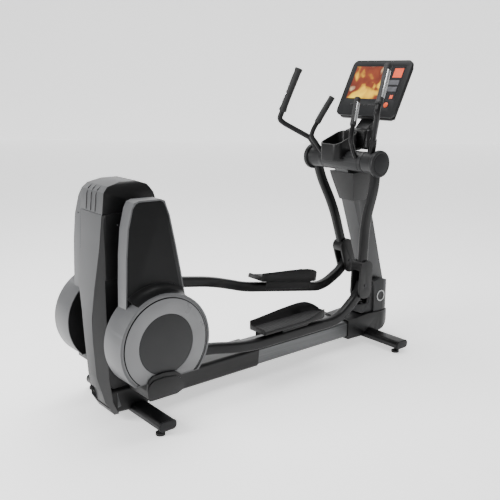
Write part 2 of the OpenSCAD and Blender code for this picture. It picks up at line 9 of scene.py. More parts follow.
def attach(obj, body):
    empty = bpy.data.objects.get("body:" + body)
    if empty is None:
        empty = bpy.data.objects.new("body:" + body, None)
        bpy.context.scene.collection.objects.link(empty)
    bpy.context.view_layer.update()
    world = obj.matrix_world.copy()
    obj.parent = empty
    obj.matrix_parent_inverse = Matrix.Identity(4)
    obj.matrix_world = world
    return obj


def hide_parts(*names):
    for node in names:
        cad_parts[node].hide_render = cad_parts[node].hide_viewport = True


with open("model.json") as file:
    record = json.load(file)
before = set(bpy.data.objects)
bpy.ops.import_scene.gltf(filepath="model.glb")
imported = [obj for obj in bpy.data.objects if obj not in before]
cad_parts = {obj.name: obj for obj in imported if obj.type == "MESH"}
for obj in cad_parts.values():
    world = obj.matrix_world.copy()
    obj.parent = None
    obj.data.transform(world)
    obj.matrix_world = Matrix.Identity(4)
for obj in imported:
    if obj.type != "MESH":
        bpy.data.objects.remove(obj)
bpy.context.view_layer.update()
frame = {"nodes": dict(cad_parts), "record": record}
nodes = frame["nodes"]

# ---------- the machine's own measures, in metres ----------

SHIFT = 0.015
CRANK = Vector((-0.775, 0, 0.418))
CRANK_R = 0.2
CRANK_ANGLE = 51.6
SWING = Vector((0.645, 0, 1.092))
SWING_R = 0.690
REST = {-1: 2.476520143, 1: -18.508976122}
SIDE = {-1: "right", 1: "left"}
LEVER_PATH = [(0, 0), (0.450, -0.037), (0.720, -0.100), (1.290, -0.150), (1.365, -0.132), (1.480, -0.062), (1.521, 0)]
CONSOLE = Vector((0.850 + SHIFT, 0, 1.482))
CONSOLE_TILT = 27
PEDAL_AT = (1.0, 0.156, -0.0751)     # on a lever, from its pin
PEDAL_TILT = 4.7                     # degrees, against the lever


def about_y(degrees):
    """Turns as the source does about +Y."""
    return Matrix.Rotation(math.radians(degrees), 4, "Y")


def swung(side, p):
    return SWING + about_y(REST[side]) @ Vector(p)


def crank_pin(side):
    a = math.radians(CRANK_ANGLE)
    return Vector((CRANK.x + side * CRANK_R * math.cos(a), 0, CRANK.z + side * CRANK_R * math.sin(a)))


def lever_pitch(side):
    a = swung(side, (0, 0, -SWING_R)) - crank_pin(side)
    return math.degrees(math.atan2(a.z, a.x))


def on_lever(side, p):
    return crank_pin(side) + about_y(-lever_pitch(side)) @ Vector(p)


def on_pedal(side, p):
    x, y, z = PEDAL_AT
    local = Matrix.Translation((x, side * y, z)) @ about_y(PEDAL_TILT) @ Vector(p)
    return on_lever(side, local)


# ---------- modelling tools ----------

def deselect():
    if bpy.context.object and bpy.context.object.mode != "OBJECT":
        bpy.ops.object.mode_set(mode="OBJECT")
    bpy.ops.object.select_all(action="DESELECT")


def pick(obj):
    deselect()
    obj.select_set(True)
    bpy.context.view_layer.objects.active = obj


def apply_all(obj):
    pick(obj)
    for m in list(obj.modifiers):
        bpy.ops.object.modifier_apply(modifier=m.name)


def settle(obj):
    """Puts the object's place into its mesh."""
    pick(obj)
    bpy.ops.object.transform_apply(location=True, rotation=True, scale=True)


def tidy_mesh(obj, smooth=35):
    pick(obj)
    bpy.ops.object.mode_set(mode="EDIT")
    bpy.ops.mesh.select_all(action="SELECT")
    bpy.ops.mesh.remove_doubles(threshold=0.00002)
    bpy.ops.mesh.normals_make_consistent(inside=False)
    bpy.ops.object.mode_set(mode="OBJECT")
    bpy.ops.object.shade_smooth_by_angle(angle=math.radians(smooth))


def bevel(obj, width, segments=3, angle=28):
    m = obj.modifiers.new("edge", "BEVEL")
    m.width = width
    m.segments = segments
    m.limit_method = "ANGLE"
    m.angle_limit = math.radians(angle)
    m.use_clamp_overlap = True
    apply_all(obj)


def finish_piece(obj, body, mat, smooth=35):
    obj.data.materials.clear()
    obj.data.materials.append(mat)
    pick(obj)
    bpy.ops.object.shade_smooth_by_angle(angle=math.radians(smooth))
    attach(obj, body)
    return obj


def body_of_node(node):
    for body, names in frame["record"]["behaviour"]["bodies"].items():
        if node in names:
            return body


def rework(node, name, mat, edge=0.003, segments=3, angle=28, smooth=35):
    """A piece that starts as a merged copy of a CAD node and gets its moulded or ground edges."""
    obj = bpy.data.objects.new(name, nodes[node].data.copy())
    bpy.context.scene.collection.objects.link(obj)
    pick(obj)
    bpy.ops.object.mode_set(mode="EDIT")
    bpy.ops.mesh.select_all(action="SELECT")
    bpy.ops.mesh.remove_doubles(threshold=0.00001)
    bpy.ops.mesh.dissolve_limited(angle_limit=math.radians(0.4))
    bpy.ops.object.mode_set(mode="OBJECT")
    if edge:
        bevel(obj, edge, segments, angle)
    finish_piece(obj, body_of_node(node), mat, smooth)
    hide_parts(node)
    return obj


def rounded(points, radius, steps=6):
    """A run of points with each corner turned into an arc-like curve."""
    out = [Vector(points[0])]
    for a, b, c in zip(points, points[1:], points[2:]):
        a, b, c = Vector(a), Vector(b), Vector(c)
        r = min(radius, (a - b).length * 0.48, (c - b).length * 0.48)
        p, q = b + (a - b).normalized() * r, b + (c - b).normalized() * r
        for i in range(steps + 1):
            t = i / steps
            out.append(p * (1 - t) ** 2 + b * 2 * t * (1 - t) + q * t * t)
    out.append(Vector(points[-1]))
    return out


def heading(path, i):
    a = path[max(i - 1, 0)]
    b = path[min(i + 1, len(path) - 1)]
    return (b - a).normalized()


def station(path, i, side):
    """The frame of a sweep at one station: across, up and along."""
    t = heading(path, i)
    s = (side - t * side.dot(t)).normalized()
    n = t.cross(s)
    return Matrix(((s.x, n.x, t.x), (s.y, n.y, t.y), (s.z, n.z, t.z))).to_4x4()


def sweep(name, path, size, side=(0, 1, 0), grow=None, corner=0.0, sides=24):
    """A bar drawn along a path by extruding its end face from station to station."""
    side = Vector(side)
    deselect()
    if corner:
        bpy.ops.mesh.primitive_plane_add(size=1)
        obj = bpy.context.object
        obj.scale = (size[0], size[1], 1)
        settle(obj)
        bpy.ops.object.mode_set(mode="EDIT")
        bpy.ops.mesh.select_all(action="SELECT")
        bpy.ops.mesh.bevel(offset=corner, segments=4, affect="VERTICES")
    else:
        bpy.ops.mesh.primitive_circle_add(vertices=sides, radius=0.5, fill_type="NGON")
        obj = bpy.context.object
        obj.scale = (size[0], size[1], 1)
        settle(obj)
        bpy.ops.object.mode_set(mode="EDIT")
    obj.name = name
    grow = grow or [1] * len(path)
    first = Matrix.Translation(path[0]) @ station(path, 0, side) @ Matrix.Scale(grow[0], 4)
    mesh = bmesh.from_edit_mesh(obj.data)
    for v in mesh.verts:
        v.co = first @ v.co
    bmesh.update_edit_mesh(obj.data)
    now = first
    for i in range(1, len(path)):
        bpy.ops.mesh.select_mode(type="FACE")
        if i == 1:
            bpy.ops.mesh.select_all(action="SELECT")
        bpy.ops.mesh.extrude_region_move()
        then = Matrix.Translation(path[i]) @ station(path, i, side) @ Matrix.Scale(grow[i], 4)
        step = then @ now.inverted()
        mesh = bmesh.from_edit_mesh(obj.data)
        for v in mesh.verts:
            if v.select:
                v.co = step @ v.co
        bmesh.update_edit_mesh(obj.data)
        now = then
    bpy.ops.mesh.select_all(action="SELECT")
    bpy.ops.mesh.normals_make_consistent(inside=False)
    bpy.ops.object.mode_set(mode="OBJECT")
    return obj


def join(parts, name):
    deselect()
    for p in parts:
        p.select_set(True)
    bpy.context.view_layer.objects.active = parts[0]
    if len(parts) > 1:
        bpy.ops.object.join()
    parts[0].name = name
    return parts[0]


def disc(name, centre, radius, depth, axis="Y", sides=64, edge=0.0012):
    """A turned disc with a broken edge."""
    deselect()
    bpy.ops.mesh.primitive_cylinder_add(vertices=sides, radius=radius, depth=depth, location=centre)
    obj = bpy.context.object
    obj.name = name
    if axis == "Y":
        obj.rotation_euler = (math.radians(90), 0, 0)
    if axis == "X":
        obj.rotation_euler = (0, math.radians(90), 0)
    settle(obj)
    bevel(obj, edge, 3)
    return obj


def block(name, low, high, edge=0.003, segments=3):
    """A box between two corners with rounded edges."""
    low, high = Vector(low), Vector(high)
    deselect()
    bpy.ops.mesh.primitive_cube_add(size=1, location=(low + high) / 2)
    obj = bpy.context.object
    obj.name = name
    obj.scale = high - low
    settle(obj)
    if edge:
        bevel(obj, edge, segments)
    return obj


def place(obj, matrix):
    obj.data.transform(matrix)
    obj.data.update()
    return obj


def turned_ring(name, centre, profile, steps=96, span=360, start=0):
    """A ring about an axis along Y: the profile (radius, y) is spun round the centre."""
    deselect()
    bpy.ops.mesh.primitive_circle_add(vertices=len(profile), radius=0.01, fill_type="NOTHING")
    obj = bpy.context.object
    obj.name = name
    settle(obj)
    turn = Matrix.Rotation(-math.radians(start), 4, "Y")
    for v, (r, y) in zip(obj.data.vertices, profile):
        v.co = turn @ Vector((r, y, 0)) + Vector(centre)
    bpy.ops.object.mode_set(mode="EDIT")
    bpy.ops.mesh.select_all(action="SELECT")
    bpy.ops.mesh.spin(steps=steps, angle=math.radians(span), center=centre, axis=(0, -1, 0))
    bpy.ops.mesh.select_all(action="SELECT")
    bpy.ops.mesh.remove_doubles(threshold=0.00002)
    bpy.ops.mesh.normals_make_consistent(inside=False)
    bpy.ops.object.mode_set(mode="OBJECT")
    return obj


# ---------- finishes ----------

def finish(name, colour, rough, metal=0.0, spread=0.12, grain=900, bump=0.06, cloud=5.0, coat=0.0, stretch=None,
           specular=0.35, wear=0.0, painted_shade_low=None):
    """A finish with cloudy tone, fine grain, uneven gloss, rubbed edges and painted shade: a darker tone low down."""
    mat = bpy.data.materials.new(name)
    mat.use_nodes = True
    tree = mat.node_tree
    shader = tree.nodes["Principled BSDF"]
    shader.inputs["Metallic"].default_value = metal
    shader.inputs["Coat Weight"].default_value = coat
    shader.inputs["Coat Roughness"].default_value = 0.15
    shader.inputs["Specular IOR Level"].default_value = specular
    where = tree.nodes.new("ShaderNodeTexCoord")
    source = where.outputs["Object"]
    if stretch:
        mapping = tree.nodes.new("ShaderNodeMapping")
        mapping.inputs["Scale"].default_value = stretch
        tree.links.new(source, mapping.inputs["Vector"])
        source = mapping.outputs["Vector"]
    tone = tree.nodes.new("ShaderNodeTexNoise")
    tone.inputs["Scale"].default_value = cloud
    tone.inputs["Detail"].default_value = 6
    tree.links.new(source, tone.inputs["Vector"])
    ramp = tree.nodes.new("ShaderNodeValToRGB")
    ramp.color_ramp.elements[0].position = 0.3
    ramp.color_ramp.elements[1].position = 0.7
    ramp.color_ramp.elements[0].color = (*[c * (1 - spread) for c in colour], 1)
    ramp.color_ramp.elements[1].color = (*[min(c * (1 + spread), 1) for c in colour], 1)
    tree.links.new(tone.outputs["Fac"], ramp.inputs["Fac"])
    tree.links.new(ramp.outputs["Color"], shader.inputs["Base Color"])
    fine = tree.nodes.new("ShaderNodeTexNoise")
    fine.inputs["Scale"].default_value = grain
    fine.inputs["Detail"].default_value = 3
    tree.links.new(source, fine.inputs["Vector"])
    gloss = tree.nodes.new("ShaderNodeMapRange")
    gloss.inputs["To Min"].default_value = max(rough - 0.07, 0.03)
    gloss.inputs["To Max"].default_value = min(rough + 0.07, 1)
    tree.links.new(tone.outputs["Fac"], gloss.inputs["Value"])
    tree.links.new(gloss.outputs["Result"], shader.inputs["Roughness"])
    rise = tree.nodes.new("ShaderNodeBump")
    rise.inputs["Strength"].default_value = bump
    rise.inputs["Distance"].default_value = 0.0004
    tree.links.new(fine.outputs["Fac"], rise.inputs["Height"])
    tree.links.new(rise.outputs["Normal"], shader.inputs["Normal"])
    if wear:
        edge = tree.nodes.new("ShaderNodeNewGeometry")
        sharp = tree.nodes.new("ShaderNodeMapRange")
        sharp.inputs["From Min"].default_value = 0.54
        sharp.inputs["From Max"].default_value = 0.62
        sharp.inputs["To Max"].default_value = wear
        tree.links.new(edge.outputs["Pointiness"], sharp.inputs["Value"])
        mix = tree.nodes.new("ShaderNodeMix")
        mix.data_type = "RGBA"
        mix.inputs["B"].default_value = (*[min(c * 2.2 + 0.03, 1) for c in colour], 1)
        tree.links.new(sharp.outputs["Result"], mix.inputs["Factor"])
        tree.links.new(ramp.outputs["Color"], mix.inputs["A"])
        tree.links.new(mix.outputs["Result"], shader.inputs["Base Color"])
    # Painted shade: the base colour is multiplied darker towards the bottom, by the object's height.
    if painted_shade_low:
        split = tree.nodes.new("ShaderNodeSeparateXYZ")
        tree.links.new(where.outputs["Object"], split.inputs["Vector"])
        height = tree.nodes.new("ShaderNodeMapRange")
        height.interpolation_type = "SMOOTHSTEP"
        height.inputs["From Min"].default_value = painted_shade_low[0]
        height.inputs["From Max"].default_value = painted_shade_low[1]
        height.inputs["To Min"].default_value = painted_shade_low[2]
        tree.links.new(split.outputs["Z"], height.inputs["Value"])
        painted_shade = tree.nodes.new("ShaderNodeMix")
        painted_shade.data_type = "RGBA"
        painted_shade.blend_type = "MULTIPLY"
        painted_shade.inputs["Factor"].default_value = 1.0
        tree.links.new(shader.inputs["Base Color"].links[0].from_socket, painted_shade.inputs["A"])
        tree.links.new(height.outputs["Result"], painted_shade.inputs["B"])
        tree.links.new(painted_shade.outputs["Result"], shader.inputs["Base Color"])
    return mat


def ribbed(name, colour, rough, pitch, axis, depth=0.5, diamond=False):
    """A moulded rubber finish with ribs or a diamond tread across it."""
    mat = finish(name, colour, rough, grain=1500, bump=0.2)
    tree = mat.node_tree
    where = next(n for n in tree.nodes if n.type == "TEX_COORD")
    shader = tree.nodes["Principled BSDF"]
    first = tree.nodes.new("ShaderNodeTexWave")
    first.wave_type = "BANDS"
    first.bands_direction = axis
    first.inputs["Scale"].default_value = pitch
    first.inputs["Distortion"].default_value = 0.0
    tree.links.new(where.outputs["Object"], first.inputs["Vector"])
    height = first.outputs["Fac"]
    if diamond:
        second = tree.nodes.new("ShaderNodeTexWave")
        second.wave_type = "BANDS"
        second.bands_direction = "Y"
        second.inputs["Scale"].default_value = pitch
        tree.links.new(where.outputs["Object"], second.inputs["Vector"])
        both = tree.nodes.new("ShaderNodeMath")
        both.operation = "MULTIPLY"
        tree.links.new(height, both.inputs[0])
        tree.links.new(second.outputs["Fac"], both.inputs[1])
        height = both.outputs["Value"]
    rise = tree.nodes.new("ShaderNodeBump")
    rise.inputs["Strength"].default_value = depth
    rise.inputs["Distance"].default_value = 0.0015
    tree.links.new(height, rise.inputs["Height"])
    fine = next(n for n in tree.nodes if n.type == "BUMP" and n is not rise)
    tree.links.new(fine.outputs["Normal"], rise.inputs["Normal"])
    tree.links.new(rise.outputs["Normal"], shader.inputs["Normal"])
    return mat


GRAPHITE = finish("graphite_moulding", (0.0115, 0.0118, 0.0125), 0.42, bump=0.08, wear=0.3, specular=0.16)
CROSS_GREY = finish("crossbar_grey_moulding", (0.018, 0.0183, 0.019), 0.40, bump=0.08, wear=0.25,
                    specular=0.18)
# Painted shade: the tower shells go darker towards the bottom, from z 0.72 m down to z 0.10 m.
TOWER_GREY = finish("tower_grey_moulding", (0.066, 0.067, 0.069), 0.42, bump=0.08, spread=0.06, wear=0.2,
                    painted_shade_low=(0.10, 0.72, 0.11), specular=0.25)
# Painted shade: the pod bands go darker towards the bottom, below z 0.36 m.
BAND_GREY = finish("pod_band_grey", (0.082, 0.0835, 0.0865), 0.40, bump=0.08, spread=0.06, wear=0.2,
                   painted_shade_low=(0.16, 0.36, 0.45))
PANEL = finish("pod_panel_charcoal", (0.0060, 0.0062, 0.0066), 0.36, bump=0.10, spread=0.08, wear=0.6,
               specular=0.12)
# Painted shade and painted reflection of the dark base: the disc rims go dark below z 0.34 m.
RING_GREY = finish("disc_ring_grey", (0.135, 0.137, 0.141), 0.30, bump=0.05, spread=0.05, specular=0.5,
                   painted_shade_low=(0.20, 0.34, 0.16))
TRIM_GREY = finish("badge_ring_grey", (0.42, 0.425, 0.43), 0.30, bump=0.05, spread=0.05)
DISC_GREY = finish("disc_centre_grey", (0.0175, 0.0178, 0.0186), 0.50, bump=0.12, specular=0.25)
BLACK = finish("black_moulding", (0.0055, 0.0055, 0.0058), 0.36, bump=0.12, wear=0.5, specular=0.25)
BLACK_DULL = finish("black_grained_moulding", (0.0055, 0.0055, 0.0058), 0.50, bump=0.35, grain=600, specular=0.25)
BLACK_PAINT = finish("black_powder_paint", (0.0055, 0.0055, 0.0059), 0.36, bump=0.15, grain=500, coat=0.04, wear=0.5,
                     specular=0.18)
MAST_PAINT = finish("mast_graphite_paint", (0.027, 0.0275, 0.0285), 0.36, metal=0.2, bump=0.08, grain=700, coat=0.15,
                    wear=0.3)
ALUMINIUM = finish("brushed_aluminium", (0.10, 0.102, 0.104), 0.34, metal=1.0, spread=0.10, grain=160, bump=0.10,
                   cloud=8, stretch=(0.4, 30, 30))
STEEL = finish("ground_steel", (0.52, 0.53, 0.54), 0.30, metal=1.0, spread=0.1, grain=300, bump=0.08)
SENSOR = finish("sensor_steel", (0.80, 0.81, 0.82), 0.24, metal=1.0, spread=0.06, grain=300, bump=0.05)
CAST = finish("cast_iron", (0.09, 0.09, 0.095), 0.55, metal=0.8, spread=0.2, grain=260, bump=0.4)
BRONZE = finish("bush_bronze", (0.45, 0.32, 0.16), 0.45, metal=1.0, spread=0.12, grain=300, bump=0.15)
BELT = ribbed("belt_rubber", (0.014, 0.014, 0.014), 0.7, 90, "Y")
GRIP = ribbed("grip_rubber", (0.009, 0.009, 0.0095), 0.60, 26, "Z", depth=0.25)
TREAD = ribbed("tread_rubber", (0.0095, 0.0095, 0.010), 0.66, 18, "X", depth=0.7, diamond=True)
RUBBER = finish("foot_rubber", (0.012, 0.012, 0.012), 0.75, bump=0.4, grain=400)
SEAM = finish("seam_black", (0.003, 0.003, 0.003), 0.6, bump=0.1, specular=0.1)
SCREW = finish("screw_black_steel", (0.03, 0.03, 0.032), 0.35, metal=0.9, bump=0.2, grain=400)
RED = finish("stop_red", (0.62, 0.075, 0.018), 0.32, spread=0.06, bump=0.04, coat=0.4)


def colour_blend(tree, source, stops, scale, distortion):
    """Soft patches of colour, one after another along the stops."""
    band = tree.nodes.new("ShaderNodeTexNoise")
    band.inputs["Scale"].default_value = scale
    band.inputs["Detail"].default_value = 2.5
    band.inputs["Distortion"].default_value = distortion
    tree.links.new(source, band.inputs["Vector"])
    ramp = tree.nodes.new("ShaderNodeValToRGB")
    ramp.color_ramp.elements[0].position = stops[0][0]
    ramp.color_ramp.elements[0].color = (*stops[0][1], 1)
    ramp.color_ramp.elements[1].position = stops[-1][0]
    ramp.color_ramp.elements[1].color = (*stops[-1][1], 1)
    for p, c in stops[1:-1]:
        e = ramp.color_ramp.elements.new(p)
        e.color = (*c, 1)
    tree.links.new(band.outputs["Fac"], ramp.inputs["Fac"])
    return ramp.outputs["Color"]


def display(name, stops, glow, scale=9.0, distortion=1.2):
    """A lit display panel behind gloss glass, with soft coloured shapes."""
    mat = finish(name, (0.02, 0.02, 0.022), 0.12, bump=0.01, coat=0.6)
    tree = mat.node_tree
    shader = tree.nodes["Principled BSDF"]
    where = next(n for n in tree.nodes if n.type == "TEX_COORD")
    colour = colour_blend(tree, where.outputs["Object"], stops, scale, distortion)
    tree.links.new(colour, shader.inputs["Base Color"])
    tree.links.new(colour, shader.inputs["Emission Color"])
    shader.inputs["Emission Strength"].default_value = glow
    return mat


PICTURE = display("display_picture", [(0.34, (0.75, 0.50, 0.02)), (0.44, (0.60, 0.33, 0.015)),
                                      (0.50, (0.16, 0.030, 0.010)), (0.58, (0.10, 0.016, 0.008)),
                                      (0.66, (0.62, 0.46, 0.25))], 0.30, scale=7.0, distortion=0.25)
SCREEN_BLACK = display("display_black", [(0.35, (0.006, 0.006, 0.007)), (0.65, (0.012, 0.012, 0.014))], 0.05)
TILE_RED = display("display_red_tile", [(0.35, (0.55, 0.060, 0.025)), (0.65, (0.62, 0.085, 0.035))], 0.35)
TILE_GREY = display("display_grey_tile", [(0.35, (0.05, 0.05, 0.055)), (0.65, (0.09, 0.09, 0.10))], 0.3)

for wanted, mat in {
    "main_rail": ALUMINIUM, "tower_frame": MAST_PAINT, "pod_carriers": MAST_PAINT, "alternator_housing": MAST_PAINT,
    "crank_bearings": STEEL, "crankshaft": STEEL, "swing_axle": STEEL, "swing_bushes": BRONZE, "drive_belt": BELT,
    "alternator_belt": BELT, "drive_pulley": CAST, "idler_pulley": CAST, "flywheel": CAST, "crank_arms": CAST,
    "pod_inner_panels": BLACK_DULL, "levelling_feet": RUBBER, "pivot_pin_right": SCREW, "pivot_pin_left": SCREW,
    "screen_glass": SCREEN_BLACK,
}.items():
    mesh = nodes[wanted].data
    if not mesh.materials:
        mesh.materials.append(mat)
    for i in range(len(mesh.materials)):
        mesh.materials[i] = mat

# ---------- base ----------

rework("rail_rear_cover", "rail_rear_casing", BLACK, edge=0.004)
rework("rear_foot_bar", "rear_stabiliser", BLACK_PAINT, edge=0.0012)
rework("front_foot_bar", "front_stabiliser", BLACK_PAINT, edge=0.0012)
rework("foot_end_caps", "stabiliser_end_caps", GRAPHITE, edge=0.005, segments=4)
rework("front_base_cover", "front_base_shell", BLACK, edge=0.007, segments=4)
skirt = block("tower_foot_shell", (-0.962, -0.106, 0.036), (-0.742, 0.106, 0.166), edge=0)
for v in skirt.data.vertices:
    if v.co.x < -0.9:
        v.co.x += 0.040 if v.co.z < 0.1 else 0.0
        v.co.y *= 0.80
bevel(skirt, 0.024, 5)
finish_piece(skirt, "frame", BLACK)
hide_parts("tower_base_skirt")
rework("mast_lower_shroud", "mast_foot_shell", GRAPHITE, edge=0.008, segments=4)
rework("mast_post", "mast_tube", MAST_PAINT, edge=0.013, segments=5, angle=50)
rework("mast_neck_cover", "mast_collar", BLACK, edge=0.009, segments=4)
rework("side_medallions", "mast_foot_rings", TRIM_GREY, edge=0.0007)

# ---------- tower ----------

rework("tower_rear_cover", "tower_spine_shell", TOWER_GREY, edge=0.010, segments=4)
cap = rework("tower_top_cap", "tower_cap_shell", TOWER_GREY, edge=0.009, segments=4)
pick(cap)
bpy.ops.object.mode_set(mode="EDIT")
bpy.ops.mesh.select_mode(type="FACE")
bpy.ops.mesh.select_all(action="DESELECT")
mesh = bmesh.from_edit_mesh(cap.data)
for f in mesh.faces:
    centre = f.calc_center_median()
    f.select = abs(f.normal.y) > 0.35 and abs(centre.y) > 0.088 and f.normal.y * centre.y > 0
bmesh.update_edit_mesh(cap.data)
bpy.ops.mesh.separate(type="SELECTED")
bpy.ops.object.mode_set(mode="OBJECT")
flanks = next(o for o in bpy.context.selected_objects if o is not cap)
flanks.name = "tower_cap_flanks"
for key in list(flanks.keys()):
    del flanks[key]
finish_piece(flanks, "frame", BLACK)
for y in (-0.042, 0.0, 0.042):
    run = [(-0.9475, y, 0.990), (-0.9395, y, 1.062), (-0.9300, y, 1.086), (-0.9095, y, 1.1005), (-0.8500, y, 1.1145),
           (-0.7700, y, 1.1150)]
    line = sweep("cap_groove_%d" % round(y * 1000 + 50), [Vector(q) for q in run], (0.0016, 0.0030), side=(0, 1, 0))
    finish_piece(line, "frame", SEAM)
rework("tower_side_covers", "tower_flank_shells", BLACK, edge=0.004, segments=3)


def sheet_between(name, front, back, mat, body="frame"):
    """A skin between two edge runs, bridged and given a wall."""
    deselect()
    bpy.ops.mesh.primitive_plane_add(size=0.01)
    obj = bpy.context.object
    obj.name = name
    mesh = bmesh.new()
    rows = [[mesh.verts.new(p) for p in run] for run in (front, back)]
    for row in rows:
        for a, b in zip(row, row[1:]):
            mesh.edges.new((a, b))
    mesh.to_mesh(obj.data)
    mesh.free()
    settle(obj)
    bpy.ops.object.mode_set(mode="EDIT")
    bpy.ops.mesh.select_mode(type="EDGE")
    bpy.ops.mesh.select_all(action="SELECT")
    bpy.ops.mesh.bridge_edge_loops()
    bpy.ops.mesh.normals_make_consistent(inside=False)
    bpy.ops.object.mode_set(mode="OBJECT")
    m = obj.modifiers.new("wall", "SOLIDIFY")
    m.thickness = 0.003
    m.offset = 0
    apply_all(obj)
    return finish_piece(obj, body, mat, 50)


REAR_EDGE = [(-0.930, 0.072, 0.031), (-0.970, 0.066, 0.100), (-0.993, 0.042, 0.225), (-1.003, 0.042, 0.400),
             (-1.003, 0.048, 0.520), (-0.999, 0.078, 0.660), (-0.975, 0.089, 0.832), (-0.962, 0.098, 0.980)]
FLANK_EDGE = [(-0.925, 0.108, 0.050), (-0.950, 0.104, 0.110), (-0.958, 0.092, 0.225), (-0.958, 0.092, 0.400),
              (-0.958, 0.092, 0.520), (-0.958, 0.094, 0.660), (-0.956, 0.102, 0.832), (-0.946, 0.104, 0.980)]
for side in (-1, 1):
    sheet_between("tower_corner_" + SIDE[side], [(x + SHIFT, side * y, z) for x, y, z in REAR_EDGE],
                  [(x + SHIFT, side * y, z) for x, y, z in FLANK_EDGE], BLACK)

# ---------- pods ----------

rework("pod_bands", "pod_shells", BAND_GREY, edge=0.004, segments=4)
rework("pod_panels", "pod_side_panels", PANEL, edge=0.0055, segments=4)


def cut_off(obj, point, away):
    """Cuts off what lies beyond a plane and closes the cut."""
    pick(obj)
    bpy.ops.object.mode_set(mode="EDIT")
    bpy.ops.mesh.select_all(action="SELECT")
    bpy.ops.mesh.bisect(plane_co=point, plane_no=away, clear_outer=True, use_fill=True)
    bpy.ops.mesh.select_all(action="SELECT")
    bpy.ops.mesh.normals_make_consistent(inside=False)
    bpy.ops.object.mode_set(mode="OBJECT")
    return obj


def turned_about_crank(degrees):
    a = math.radians(degrees)
    return Vector((math.cos(a), 0, math.sin(a)))


for side in (-1, 1):
    hand = SIDE[side]
    lip = turned_ring("disc_lip_" + hand, CRANK.copy(), [
        (0.2088, side * 0.3150), (0.2125, side * 0.3150), (0.2125, side * 0.3192),
        (0.2116, side * 0.3198), (0.2096, side * 0.3198), (0.2088, side * 0.3192)], steps=128)
    cut_off(lip, (0, 0, 0.2630), (0, 0, -1))
    finish_piece(lip, "frame", SEAM)
    flare = turned_ring("pod_flare_" + hand, CRANK.copy(), [
        (0.2270, side * 0.3185), (0.2300, side * 0.3050), (0.2345, side * 0.2850), (0.2410, side * 0.2680),
        (0.2500, side * 0.2540), (0.2620, side * 0.2462), (0.2620, side * 0.2420), (0.2270, side * 0.2420)],
        steps=128)
    cut_off(flare, CRANK, turned_about_crank(57.5 - 90))
    cut_off(flare, CRANK, turned_about_crank(123.5 + 90))
    finish_piece(flare, "frame", PANEL)
rework("disc_rings", "disc_rims", RING_GREY, edge=0.0015)
rework("disc_centres", "disc_hubs", DISC_GREY, edge=0.0015)

# ---------- arms, levers, pedals and moving handles ----------

TRAY = [(-0.2270, 0.0460, 0.0180), (-0.2230, 0.0480, 0.0185), (-0.1700, 0.0520, 0.0185), (-0.1000, 0.0590, 0.0185),
        (-0.0300, 0.0660, 0.0185), (0.0400, 0.0715, 0.0190), (0.0800, 0.0735, 0.0240), (0.1100, 0.0745, 0.0320),
        (0.1400, 0.0725, 0.0410), (0.1600, 0.0690, 0.0465), (0.1760, 0.0650, 0.0490), (0.1920, 0.0590, 0.0480),
        (0.2060, 0.0520, 0.0450), (0.2160, 0.0440, 0.0400), (0.2225, 0.0360, 0.0340), (0.2255, 0.0300, 0.0290)]


def foot_tray(side):
    """A moulded tray built up from cross-sections: a high wall inboard, a low lip outboard, a round toe."""
    rings = []
    for x, tall, low in TRAY:
        w = 0.0665 if x < 0.160 else max(math.sqrt(max(0.0665 ** 2 - (x - 0.160) ** 2, 0)), 0.016)
        if x < -0.225:
            w -= 0.004
        k = w / 0.0665
        top, lip = min(tall, 0.0745), low
        half = [(-w + 0.004 * k, 0.0004), (-w, 0.005), (-w, top - 0.004), (-w + 0.0015 * k, top - 0.001),
                (-w + 0.0045 * k, top), (-w + 0.0075 * k, top - 0.002), (-w + 0.0095 * k, top * 0.6 + 0.006),
                (-w + 0.0150 * k, 0.0185), (-w + 0.0260 * k, 0.0122), (w - 0.0200 * k, 0.0122),
                (w - 0.0110 * k, 0.0150), (w - 0.0075 * k, lip - 0.0015), (w - 0.0045 * k, lip),
                (w - 0.0010 * k, lip - 0.0015),
                (w, lip - 0.004), (w, 0.005), (w - 0.004 * k, 0.0004)]
        if x < -0.2240 or x > 0.2200:
            inner = 0.6 * top if x < 0 else 0.9 * lip
            half = [(y, inner) if abs(y) < w - 0.006 * k else (y, min(z, max(top, lip))) for y, z in half]
        rings.append([Vector((x, side * y, z)) for y, z in half])
    points, faces, n = [], [], len(rings[0])
    for ring in rings:
        points += [on_pedal(side, p) for p in ring]
    for i in range(len(rings) - 1):
        for j in range(n):
            faces.append((i * n + j, i * n + (j + 1) % n, (i + 1) * n + (j + 1) % n, (i + 1) * n + j))
    faces += [tuple(range(n)), tuple(range((len(rings) - 1) * n, len(rings) * n))]
    data = bpy.data.meshes.new("foot_tray_" + SIDE[side])
    data.from_pydata([tuple(p) for p in points], [], faces)
    obj = bpy.data.objects.new("foot_tray_" + SIDE[side], data)
    bpy.context.scene.collection.objects.link(obj)
    parts = [obj]
    for name, low, high in (("saddle", (-0.090, min(0, side * 0.044), -0.021), (0.090, max(0, side * 0.044), 0.002)),
                            ("web", (-0.190, -side * 0.059 - 0.004, -0.043), (0.150, -side * 0.059 + 0.004, 0.002))):
        piece = block("foot_tray_" + name, low, high, edge=0.002, segments=2)
        for v in piece.data.vertices:
            v.co = on_pedal(side, v.co)
        parts.append(piece)
    tray = join(parts, "foot_tray_" + SIDE[side])
    tidy_mesh(tray, 50)
    return tray


